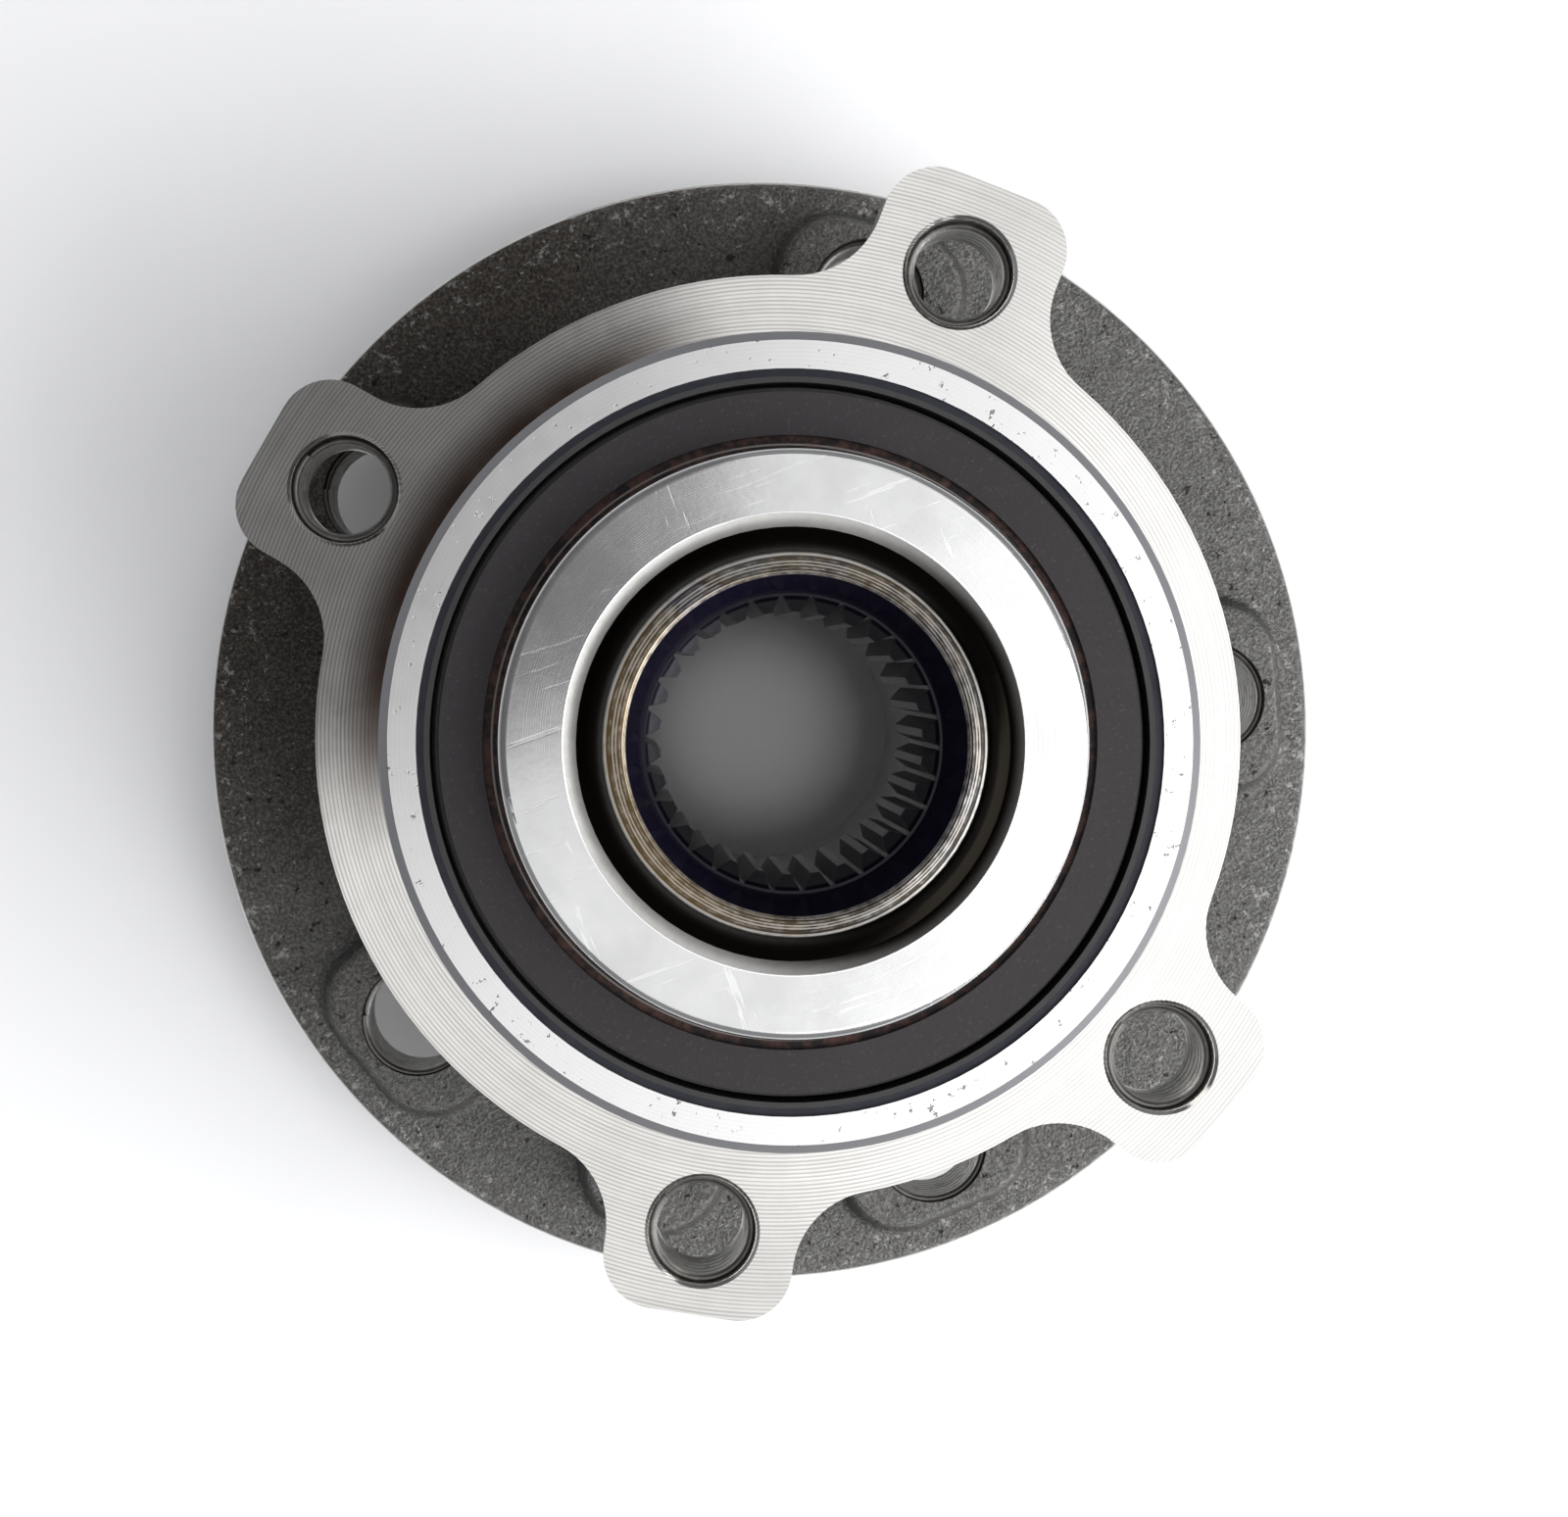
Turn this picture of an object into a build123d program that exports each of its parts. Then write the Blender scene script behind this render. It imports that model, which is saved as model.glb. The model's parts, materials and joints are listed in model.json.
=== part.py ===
from build123d import *
import os
from math import acos, cos, degrees, hypot, pi, radians, sin, tan

# Driven wheel hub unit. A flanged spindle turns on two rows of balls inside a flanged outer ring.
# Millimetres. Z is the bearing axis, z = 0 is the wheel mounting face, and +Z points inboard,
# towards the knuckle and the drive shaft. Plus Y bisects the wider pair of knuckle bolt ears.

# ---- balls and raceways -------------------------------------------------------------------------
ball_d = 11.9
balls_per_row = 14
pitch_r = 33.0
contact_angle = 36.0
race_conformity = 0.52          # groove radius as a share of the ball's diameter
race_gap = 0.1                  # ball to groove, along the line of contact
outboard_row_z = 33.0
row_spacing = 22.0
low_shoulder = 0.35             # height of each groove's low side over the ball's lowest point
inner_high_shoulder = 3.65
outer_high_shoulder = 3.45

# ---- snap cages ---------------------------------------------------------------------------------
pocket_gap = 0.25
cage_shoulder_gap = 0.4
cage_thickness = 5.3
cage_back = 1.2                 # wall behind each pocket
cage_horn = 2.5                 # how far the open side reaches past the ball centres
horn_slot_w = 1.1
horn_slot_depth = 3.6

# ---- seals --------------------------------------------------------------------------------------
seal_step = 0.8                 # step from the groove's low side out to the seal bore
seal_to_cage = 0.6
inboard_seal_w = 7.4
outboard_seal_w = 7.1
inboard_seal_recess = 0.6
outboard_seal_recess = 0.4
seal_sheet_t = 0.8
seal_web_reach = 4.4            # radial reach of the case's inward flange
rubber_t = 0.6
seal_foot_t = 1.2
lip_gap = 0.15                  # free lip to the surface that it wipes
lip_t = 0.7
lip_tip_t = 0.5
dust_lip_rise = 0.9
axial_lip_lean = 0.6
slinger_clear_r = 1.2           # slinger rim to the rubber on the case
slinger_drop = 0.6              # slinger face below the case's outer edge
encoder_t = 0.9
encoder_start = 0.9             # encoder's inner edge, out from the slinger's sleeve
encoder_overhang = 0.2

# ---- outer ring ---------------------------------------------------------------------------------
pilot_wall = 4.0
pilot_h = 22.0
pilot_chamfer = 1.0
pilot_root_r = 0.5
barrel_wall = 3.1
barrel_fillet = 3.0
knuckle_flange_t = 12.5
knuckle_land_w = 8.7            # flange past the pilot, between the ears
ear_bolt_out = 4.15             # ear bolt circle past the flange
ear_bolt_d = 12.0               # M12 thread, cut at its nominal size
ear_bolt_chamfer = 0.5
ear_w = 21.4
ear_tip_r = 6.0
ear_root_r = 10.0
wide_pair_spread = 81.6
narrow_pair_spread = 58.8
narrow_pair_skew = 1.35         # turn of the narrow pair's bisector from minus Y
wide_ear_past_bolt = 10.55      # ear tip past its bolt's centre
narrow_ear_past_bolt = 9.45
ring_edge_chamfer = 0.5

# ---- inner ring ---------------------------------------------------------------------------------
seat_r = 21.5
inner_ring_proud = 6.2          # inner ring's face past the pilot's face
inner_ring_bore_r = 3.4         # rounding from its bore to its face
inner_ring_bore_w = 2.4         # width left of it where the face was ground, which leaves a crisp edge
inner_ring_rim_r = 1.0
inner_ring_foot_chamfer = 0.6

# ---- spindle ------------------------------------------------------------------------------------
wheel_flange_t = 10.0
wheel_flange_edge_r = 1.0
hub_rest_angle = -15.2          # first wheel bolt's direction at rest
wheel_bolt_count = 5
wheel_bolt_d = 14.0             # M14 thread, cut at its nominal size
wheel_bolt_chamfer = 0.5
boss_rise = 3.2
boss_w = 25.2
boss_to_neck = 1.9              # foot of each boss out from the neck's foot
boss_inside_bolt = 2.2          # boss inwards of its bolt hole
boss_past_bolt = 2.6            # and outwards of it
boss_to_rim = 3.4               # flange's rim past the bosses
boss_corner_r = 8.0
boss_draft = 22.0
boss_crown_r = 0.8
boss_root_r = 1.2
screw_boss_r = 9.8
screw_boss_to_neck = 0.9
screw_boss_step = 3.5           # wheel bolt spacings on from the first wheel bolt
disc_screw_d = 8.0
neck_flare = 0.4                # neck's foot past its seal land
neck_gap = 1.2                  # labyrinth between the outer ring's end and the spindle's seal land
neck_wall = 2.0                 # seal land's reach past the outer ring's barrel
land_fillet_r = 4.0
spigot_r = 33.2
spigot_h = 11.0
spigot_lead = 1.8
disc_register_r = 33.9
disc_register_h = 3.5
nut_recess_r = 27.0
nut_recess_depth = 19.0
nut_recess_fillet = 3.0
shaft_bore_step = 0.6           # shaft clearance outside the splines' major radius
spline_teeth = 30
spline_minor_r = 13.7
spline_depth = 1.7
spline_flank_angle = 24.0
spline_space_share = 0.4        # tooth space as a share of the pitch, halfway down the teeth
spline_length = 31.3
spline_below_face = 2.9
spline_lead = 1.3
rim_h = 4.9                     # formed rim over the inner ring's face
rim_outer_r = 19.7
rim_crest_r = 17.9
rim_bore_r = 17.4
rim_flank_drop = 2.7            # crest down to the outer edge of the formed cone
rim_wrap = 45.0                 # how far the rim follows the inner ring's rounding, in degrees
rim_valley_sag = 0.55
bore_taper_step = 0.3           # taper's foot outside the splines' major radius

# ---- derived sizes ------------------------------------------------------------------------------
ball_r = ball_d / 2
inboard_row_z = outboard_row_z + row_spacing
groove_r = race_conformity * ball_d
groove_shift = groove_r - ball_r - race_gap
groove_shift_r = groove_shift * cos(radians(contact_angle))
groove_shift_z = groove_shift * sin(radians(contact_angle))
inner_low_r = pitch_r - ball_r + low_shoulder
inner_high_r = pitch_r - ball_r + inner_high_shoulder
outer_low_r = pitch_r + ball_r - low_shoulder
outer_high_r = pitch_r + ball_r - outer_high_shoulder
seal_bore_r = outer_low_r + seal_step
pilot_r = seal_bore_r + pilot_wall
barrel_r = seal_bore_r + barrel_wall
knuckle_flange_r = pilot_r + knuckle_land_w
ear_bolt_r = knuckle_flange_r + ear_bolt_out
wide_pair_reach = ear_bolt_r + wide_ear_past_bolt
narrow_pair_reach = ear_bolt_r + narrow_ear_past_bolt
seal_land_r = barrel_r + neck_wall

cage_in_r = inner_high_r + cage_shoulder_gap
cage_out_r = cage_in_r + cage_thickness
cage_reach = ball_r + pocket_gap + cage_back
seal_start = cage_reach + seal_to_cage

inboard_seal_in_z = inboard_row_z + seal_start
inboard_seal_out_z = inboard_seal_in_z + inboard_seal_w
pilot_face_z = inboard_seal_out_z + inboard_seal_recess
knuckle_face_z = pilot_face_z - pilot_h
knuckle_back_z = knuckle_face_z - knuckle_flange_t
outboard_seal_in_z = outboard_row_z - seal_start
outboard_seal_out_z = outboard_seal_in_z - outboard_seal_w
ring_end_z = outboard_seal_out_z - outboard_seal_recess
seal_land_z = ring_end_z - neck_gap

inner_ring_foot_z = (outboard_row_z + inboard_row_z) / 2
inner_ring_face_z = pilot_face_z + inner_ring_proud
spline_major_r = spline_minor_r + spline_depth
shaft_bore_r = spline_major_r + shaft_bore_step
spline_top_z = inner_ring_face_z - spline_below_face
spline_end_z = spline_top_z - spline_length
rim_crest_z = inner_ring_face_z + rim_h
rim_flank_z = rim_crest_z - rim_flank_drop
rim_edge_z = rim_crest_z - (rim_crest_r - rim_bore_r)
bore_taper_r = spline_major_r + bore_taper_step
wrap_centre_r = seat_r + inner_ring_bore_r
bore_edge_r = seat_r + inner_ring_bore_w
wrap_edge_angle = acos((wrap_centre_r - bore_edge_r) / inner_ring_bore_r)
wrap_centre_z = inner_ring_face_z - inner_ring_bore_r * sin(wrap_edge_angle)
wrap_end_r = wrap_centre_r - inner_ring_bore_r * cos(radians(rim_wrap))
wrap_end_z = wrap_centre_z + inner_ring_bore_r * sin(radians(rim_wrap))
nut_seat_z = nut_recess_depth - spigot_h
boss_top_z = wheel_flange_t + boss_rise
neck_foot_r = seal_land_r + neck_flare
boss_inner_r = neck_foot_r + boss_to_neck
wheel_bolt_circle_r = boss_inner_r + boss_inside_bolt + wheel_bolt_d / 2
boss_outer_r = wheel_bolt_circle_r + wheel_bolt_d / 2 + boss_past_bolt
wheel_flange_r = boss_outer_r + boss_to_rim
boss_middle_r = (boss_outer_r + boss_inner_r) / 2
boss_length = boss_outer_r - boss_inner_r
boss_inset = boss_rise * tan(radians(boss_draft))
screw_boss_centre_r = neck_foot_r + screw_boss_to_neck + screw_boss_r
screw_angle = hub_rest_angle + screw_boss_step * 360 / wheel_bolt_count

slinger_sleeve_r = inner_high_r + seal_sheet_t
slinger_rim_r = seal_bore_r - seal_sheet_t - rubber_t - slinger_clear_r
slinger_face_z = inboard_seal_out_z - slinger_drop
slinger_back_z = slinger_face_z - seal_sheet_t

CORNER = (Align.MIN, Align.MIN)


def corner(sketch, r, z):
    """The sketch's vertex nearest to a radius and a height."""
    return sketch.vertices().sort_by_distance((r, z))[0]


def ring_section(inner_r, outer_r, low_z, high_z, mode=Mode.ADD):
    """A rectangle of the half section, between two radii and two heights."""
    with Locations((inner_r, low_z)):
        Rectangle(outer_r - inner_r, high_z - low_z, align=CORNER, mode=mode)


def groove(row_z, toward_axis, inboard):
    """Cuts one raceway out of the half section. The groove's centre is shifted along the contact line."""
    way = 1 if toward_axis else -1
    side = -1 if inboard else 1
    with Locations((pitch_r + way * groove_shift_r, row_z + way * side * groove_shift_z)):
        Circle(groove_r, mode=Mode.SUBTRACT)


def save(part, name):
    part.label = name
    export_step(part, f"parts/{name}.step")


os.makedirs("parts", exist_ok=True)

# ---- outer ring: the stationary forging, with its four-eared knuckle flange and both outer raceways
ear_angles = (
    90 - wide_pair_spread / 2,
    90 + wide_pair_spread / 2,
    270 + narrow_pair_skew - narrow_pair_spread / 2,
    270 + narrow_pair_skew + narrow_pair_spread / 2,
)
ear_reaches = (wide_pair_reach, wide_pair_reach, narrow_pair_reach, narrow_pair_reach)

with BuildPart() as outer_ring:
    with BuildSketch(Plane.XZ) as half_section:
        ring_section(outer_high_r, barrel_r, ring_end_z, knuckle_back_z)
        ring_section(outer_high_r, knuckle_flange_r, knuckle_back_z, knuckle_face_z)
        fillet(corner(half_section, barrel_r, knuckle_back_z), barrel_fillet)
        chamfer(corner(half_section, barrel_r, ring_end_z), ring_edge_chamfer)
        ring_section(outer_high_r, pilot_r, knuckle_face_z, pilot_face_z)
        chamfer(corner(half_section, pilot_r, pilot_face_z), pilot_chamfer)
        fillet(corner(half_section, pilot_r, knuckle_face_z), pilot_root_r)
        for row_z, low_z, high_z in (
            (outboard_row_z, ring_end_z, outboard_row_z),
            (inboard_row_z, inboard_row_z, pilot_face_z),
        ):
            ring_section(outer_high_r, outer_low_r, low_z, high_z, Mode.SUBTRACT)
            groove(row_z, toward_axis=False, inboard=row_z == inboard_row_z)
        ring_section(outer_high_r, seal_bore_r, ring_end_z, outboard_seal_in_z, Mode.SUBTRACT)
        ring_section(outer_high_r, seal_bore_r, inboard_seal_in_z, pilot_face_z, Mode.SUBTRACT)
    revolve(axis=Axis.Z)

    with BuildSketch(Plane.XY.offset(knuckle_back_z)) as flange_outline:
        Circle(knuckle_flange_r)
        for angle, reach in zip(ear_angles, ear_reaches):
            with PolarLocations(reach / 2, 1, start_angle=angle):
                Rectangle(reach, ear_w)
        ear_roots = [v for v in flange_outline.vertices() if hypot(v.X, v.Y) < ear_bolt_r]
        fillet(ear_roots, ear_root_r)
        ear_tips = [v for v in flange_outline.vertices() if hypot(v.X, v.Y) > narrow_pair_reach]
        fillet(ear_tips, ear_tip_r)
        Circle(barrel_r, mode=Mode.SUBTRACT)
    extrude(amount=knuckle_flange_t)

    for angle in ear_angles:
        with Locations(Plane.XY.offset(knuckle_face_z)):
            with PolarLocations(ear_bolt_r, 1, start_angle=angle):
                Hole(radius=ear_bolt_d / 2, depth=knuckle_flange_t)
    whole_circles = [e for e in outer_ring.edges().filter_by(GeomType.CIRCLE) if e.is_closed]
    chamfer([e for e in whole_circles if e.radius < ear_w / 2], ear_bolt_chamfer)
save(outer_ring.part, "outer_ring")

# ---- one wheel bolt boss, drafted as forged, drawn towards plus X
with BuildPart() as bolt_boss:
    for inset, z in ((0, wheel_flange_t), (boss_inset, boss_top_z)):
        with BuildSketch(Plane.XY.offset(z)):
            with Locations((boss_middle_r, 0)):
                RectangleRounded(boss_length - 2 * inset, boss_w - 2 * inset, boss_corner_r - inset)
    loft(ruled=True)

# ---- spindle: wheel flange, spigot, outboard raceway, inner ring seat, splines and formed rim
with BuildPart() as hub_spindle:
    with BuildSketch(Plane.XZ) as half_section:
        ring_section(0, wheel_flange_r, 0, wheel_flange_t)
        fillet(corner(half_section, wheel_flange_r, wheel_flange_t), wheel_flange_edge_r)
        chamfer(corner(half_section, wheel_flange_r, 0), ring_edge_chamfer)
        with BuildLine():
            Polyline(
                (0, wheel_flange_t),
                (neck_foot_r, wheel_flange_t),
                (seal_land_r, seal_land_z),
                (0, seal_land_z),
                close=True,
            )
        make_face()
        ring_section(0, inner_high_r, seal_land_z, outboard_row_z)
        fillet(corner(half_section, inner_high_r, seal_land_z), land_fillet_r)
        ring_section(0, inner_low_r, outboard_row_z, inner_ring_foot_z)
        groove(outboard_row_z, toward_axis=True, inboard=False)
        chamfer(corner(half_section, inner_low_r, inner_ring_foot_z), inner_ring_foot_chamfer)
        ring_section(0, disc_register_r, -disc_register_h, 0)
        ring_section(0, spigot_r, -spigot_h, -disc_register_h)
        chamfer(corner(half_section, spigot_r, -spigot_h), spigot_lead)
        ring_section(0, seat_r, inner_ring_foot_z, wrap_centre_z)

        # the rim is rolled outwards over the inner ring's rounding, and leaves a greasy valley beside it
        with BuildLine():
            Line((0, wrap_centre_z), (seat_r, wrap_centre_z))
            CenterArc((wrap_centre_r, wrap_centre_z), inner_ring_bore_r, 180, -rim_wrap)
            SagittaArc((wrap_end_r, wrap_end_z), (rim_outer_r, rim_flank_z), rim_valley_sag)
            Polyline(
                (rim_outer_r, rim_flank_z),
                (rim_crest_r, rim_crest_z),
                (rim_bore_r, rim_edge_z),
                (0, rim_edge_z),
                (0, wrap_centre_z),
            )
        make_face()

        # the bore, cut from the outboard end: nut recess, shaft clearance, splines, taper up to the rim
        with BuildLine():
            Polyline(
                (0, -spigot_h),
                (nut_recess_r, -spigot_h),
                (nut_recess_r, nut_seat_z),
                (shaft_bore_r, nut_seat_z),
                (shaft_bore_r, spline_end_z),
                (spline_minor_r, spline_end_z + spline_lead),
                (spline_minor_r, spline_top_z - spline_lead),
                (spline_major_r, spline_top_z),
                (bore_taper_r, spline_top_z),
                (rim_bore_r, rim_edge_z),
                (0, rim_edge_z),
                close=True,
            )
        make_face(mode=Mode.SUBTRACT)
        fillet(corner(half_section, nut_recess_r, nut_seat_z), nut_recess_fillet)
    revolve(axis=Axis.Z)

    with PolarLocations(0, wheel_bolt_count, start_angle=hub_rest_angle):
        add(bolt_boss.part)
    with Locations(Plane.XY.offset(wheel_flange_t)):
        with PolarLocations(screw_boss_centre_r, 1, start_angle=screw_angle):
            Cone(screw_boss_r, screw_boss_r - boss_inset, boss_rise, align=(Align.CENTER, Align.CENTER, Align.MIN))
    # the foot of the neck, and the flange's rim, are far longer than any edge at the foot of a boss
    flange_top_edges = hub_spindle.edges().filter_by_position(Axis.Z, wheel_flange_t, wheel_flange_t)
    fillet([e for e in flange_top_edges if e.length < pi * neck_foot_r], boss_root_r)
    fillet(hub_spindle.edges().filter_by_position(Axis.Z, boss_top_z, boss_top_z), boss_crown_r)

    with Locations(Plane.XY.offset(boss_top_z)):
        with PolarLocations(wheel_bolt_circle_r, wheel_bolt_count, start_angle=hub_rest_angle):
            Hole(radius=wheel_bolt_d / 2, depth=boss_top_z)
        with PolarLocations(screw_boss_centre_r, 1, start_angle=screw_angle):
            Hole(radius=disc_screw_d / 2, depth=boss_top_z)
    wheel_face_circles = hub_spindle.edges().filter_by(GeomType.CIRCLE).filter_by_position(Axis.Z, 0, 0)
    chamfer([e for e in wheel_face_circles if e.radius < wheel_bolt_d], wheel_bolt_chamfer)

    # the tooth spaces are cut through the spline's length, from the shaft bore to the taper
    spline_pitch_r = (spline_major_r + spline_minor_r) / 2
    half_space = spline_space_share * pi * spline_pitch_r / spline_teeth
    flank_slope = tan(radians(spline_flank_angle))
    space_mouth = half_space + (spline_major_r - spline_minor_r) * flank_slope
    space_floor = half_space - (spline_major_r - spline_pitch_r) * flank_slope
    mouth_r = spline_pitch_r - (spline_major_r - spline_minor_r)
    with BuildSketch(Plane.XY.offset(spline_end_z - spline_lead)):
        with PolarLocations(0, spline_teeth, start_angle=hub_rest_angle + 180 / spline_teeth):
            Polygon(
                (mouth_r, -space_mouth),
                (spline_major_r, -space_floor),
                (spline_major_r, space_floor),
                (mouth_r, space_mouth),
                align=None,
            )
    extrude(amount=spline_length + 2 * spline_lead, mode=Mode.SUBTRACT)
save(hub_spindle.part, "hub_spindle")

# ---- inner ring: pressed on the spindle and clamped by the formed rim, with the inboard inner raceway
with BuildPart() as inner_ring:
    with BuildSketch(Plane.XZ) as half_section:
        ring_section(seat_r, inner_low_r, inner_ring_foot_z, inboard_row_z)
        ring_section(seat_r, inner_high_r, inboard_row_z, inner_ring_face_z)
        groove(inboard_row_z, toward_axis=True, inboard=True)
        with BuildLine():
            CenterArc((wrap_centre_r, wrap_centre_z), inner_ring_bore_r, 180, -degrees(wrap_edge_angle))
            Polyline((bore_edge_r, inner_ring_face_z), (seat_r, inner_ring_face_z), (seat_r, wrap_centre_z))
        make_face(mode=Mode.SUBTRACT)
        fillet(corner(half_section, inner_high_r, inner_ring_face_z), inner_ring_rim_r)
        chamfer(corner(half_section, inner_low_r, inner_ring_foot_z), inner_ring_foot_chamfer)
    revolve(axis=Axis.Z)
save(inner_ring.part, "inner_ring")


# ---- rolling elements: two snap cages and their balls
def make_cage(row_z, side):
    """A moulded crown cage. Its closed ring faces the seal, and its horns point to the bearing's middle."""
    back_z = row_z + side * cage_reach
    horn_z = row_z - side * cage_horn
    with BuildPart() as cage:
        with BuildSketch(Plane.XZ):
            ring_section(cage_in_r, cage_out_r, min(back_z, horn_z), max(back_z, horn_z))
        revolve(axis=Axis.Z)
        with Locations((0, 0, row_z)):
            with PolarLocations(pitch_r, balls_per_row):
                Sphere(ball_r + pocket_gap, mode=Mode.SUBTRACT)
        with Locations((0, 0, horn_z + side * horn_slot_depth / 2)):
            with PolarLocations(pitch_r, balls_per_row, start_angle=180 / balls_per_row):
                Box(2 * cage_thickness, horn_slot_w, horn_slot_depth, mode=Mode.SUBTRACT)
    return cage.part


for row, row_z, side in (("outboard", outboard_row_z, -1), ("inboard", inboard_row_z, 1)):
    save(make_cage(row_z, side), f"{row}_cage")
    for index in range(balls_per_row):
        angle = radians(index * 360 / balls_per_row)
        with BuildPart() as ball:
            with Locations((pitch_r * cos(angle), pitch_r * sin(angle), row_z)):
                Sphere(ball_r)
        save(ball.part, f"{row}_ball_{index + 1:02d}")


# ---- seals: each has a pressed steel case in the outer ring and rubber lips bonded to it
def make_seal_case(in_z, out_z):
    """An L-section ring of steel sheet, with its sleeve in the seal bore and its web on the ball side."""
    web_z = in_z + seal_sheet_t if out_z > in_z else in_z - seal_sheet_t
    with BuildPart() as case:
        with BuildSketch(Plane.XZ):
            ring_section(seal_bore_r - seal_sheet_t, seal_bore_r, min(in_z, out_z), max(in_z, out_z))
            web_r = seal_bore_r - seal_sheet_t - seal_web_reach
            ring_section(web_r, seal_bore_r, min(in_z, web_z), max(in_z, web_z))
        revolve(axis=Axis.Z)
    return case.part


def make_lips(in_z, out_z, radial_r, axial_z):
    """The rubber: a lining in the case, a foot on the web, two lips to a sleeve and one to a face."""
    side = 1 if out_z > in_z else -1
    lining_r = seal_bore_r - seal_sheet_t
    web_z = in_z + side * seal_sheet_t
    web_r = lining_r - seal_web_reach
    foot_z = web_z + side * seal_foot_t
    tip_r = radial_r + lip_gap
    tip_z = axial_z - side * lip_gap
    middle_r = (web_r + lining_r) / 2
    with BuildPart() as lips:
        with BuildSketch(Plane.XZ):
            ring_section(lining_r - rubber_t, lining_r, min(web_z, out_z), max(web_z, out_z))
            ring_section(web_r - rubber_t, lining_r, min(web_z, foot_z), max(web_z, foot_z))
            ring_section(web_r - rubber_t, web_r, min(in_z, foot_z), max(in_z, foot_z))
            Polygon((web_r, in_z), (tip_r, in_z), (tip_r, in_z + side * lip_t), (web_r, foot_z), align=None)
            Polygon(
                (web_r + lip_t, foot_z),
                (web_r - rubber_t, web_z),
                (tip_r, foot_z + side * dust_lip_rise),
                (tip_r, foot_z + side * (dust_lip_rise + lip_tip_t)),
                align=None,
            )
            Polygon(
                (middle_r - lip_t, foot_z),
                (middle_r + lip_t, foot_z),
                (middle_r + axial_lip_lean + lip_tip_t, tip_z),
                (middle_r + axial_lip_lean, tip_z),
                align=None,
            )
        revolve(axis=Axis.Z)
    return lips.part


save(make_seal_case(outboard_seal_in_z, outboard_seal_out_z), "outboard_seal_case")
save(make_lips(outboard_seal_in_z, outboard_seal_out_z, inner_high_r, seal_land_z), "outboard_seal_lips")
save(make_seal_case(inboard_seal_in_z, inboard_seal_out_z), "inboard_seal_case")
save(make_lips(inboard_seal_in_z, inboard_seal_out_z, slinger_sleeve_r, slinger_back_z), "inboard_seal_lips")

# ---- slinger and encoder: an L-section ring on the inner ring, carrying the magnetic speed ring
with BuildPart() as inboard_slinger:
    with BuildSketch(Plane.XZ) as half_section:
        ring_section(inner_high_r, slinger_sleeve_r, inboard_seal_in_z, slinger_face_z)
        ring_section(inner_high_r, slinger_rim_r, slinger_back_z, slinger_face_z)
    revolve(axis=Axis.Z)
save(inboard_slinger.part, "inboard_slinger")

with BuildPart() as encoder_ring:
    with BuildSketch(Plane.XZ):
        encoder_in_r = slinger_sleeve_r + encoder_start
        encoder_out_r = slinger_rim_r + encoder_overhang
        ring_section(encoder_in_r, encoder_out_r, slinger_face_z, slinger_face_z + encoder_t)
        ring_section(slinger_rim_r, encoder_out_r, slinger_back_z, slinger_face_z)
    revolve(axis=Axis.Z)
save(encoder_ring.part, "encoder_ring")
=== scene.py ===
import json
import math

import bpy
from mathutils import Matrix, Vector


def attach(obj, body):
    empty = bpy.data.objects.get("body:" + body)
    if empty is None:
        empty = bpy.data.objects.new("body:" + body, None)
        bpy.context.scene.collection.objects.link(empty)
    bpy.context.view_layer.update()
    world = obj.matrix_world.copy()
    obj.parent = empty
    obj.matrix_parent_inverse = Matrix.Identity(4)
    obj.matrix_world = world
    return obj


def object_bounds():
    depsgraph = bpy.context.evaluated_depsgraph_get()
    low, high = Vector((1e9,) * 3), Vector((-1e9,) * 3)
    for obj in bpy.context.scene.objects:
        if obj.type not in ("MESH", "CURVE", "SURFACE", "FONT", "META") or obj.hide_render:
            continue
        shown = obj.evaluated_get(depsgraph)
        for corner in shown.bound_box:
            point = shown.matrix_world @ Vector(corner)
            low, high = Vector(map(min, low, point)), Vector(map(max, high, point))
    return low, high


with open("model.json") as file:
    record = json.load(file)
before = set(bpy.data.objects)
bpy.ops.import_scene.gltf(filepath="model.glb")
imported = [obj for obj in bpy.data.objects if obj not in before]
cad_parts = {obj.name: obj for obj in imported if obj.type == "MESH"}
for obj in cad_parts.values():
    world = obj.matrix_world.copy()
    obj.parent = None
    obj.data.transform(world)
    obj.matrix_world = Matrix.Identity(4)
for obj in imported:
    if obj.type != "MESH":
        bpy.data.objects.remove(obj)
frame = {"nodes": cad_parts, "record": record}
cad_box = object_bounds()


# ---- outer ring ---------------------------------------------------------------------------------
# The stationary ring is a steel forging. Its knuckle face, pilot and bores are turned bright, with
# fine concentric feed marks, and the rest keeps the dark shot-blasted skin of the forging.

class Field:
    """A value on one socket of a node tree. Python's operators on it add Math nodes."""

    def __init__(self, graph, socket):
        self.graph = graph
        self.socket = socket

    def maths(self, operation, *values):
        return self.graph.node("ShaderNodeMath", {"operation": operation}, dict(enumerate(values)))

    def __add__(self, other):
        return self.maths("ADD", self, other)

    __radd__ = __add__

    def __sub__(self, other):
        return self.maths("SUBTRACT", self, other)

    def __rsub__(self, other):
        return self.maths("SUBTRACT", other, self)

    def __mul__(self, other):
        return self.maths("MULTIPLY", self, other)

    __rmul__ = __mul__

    def __truediv__(self, other):
        return self.maths("DIVIDE", self, other)

    def __rtruediv__(self, other):
        return self.maths("DIVIDE", other, self)

    def __pow__(self, other):
        return self.maths("POWER", self, other)

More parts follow.
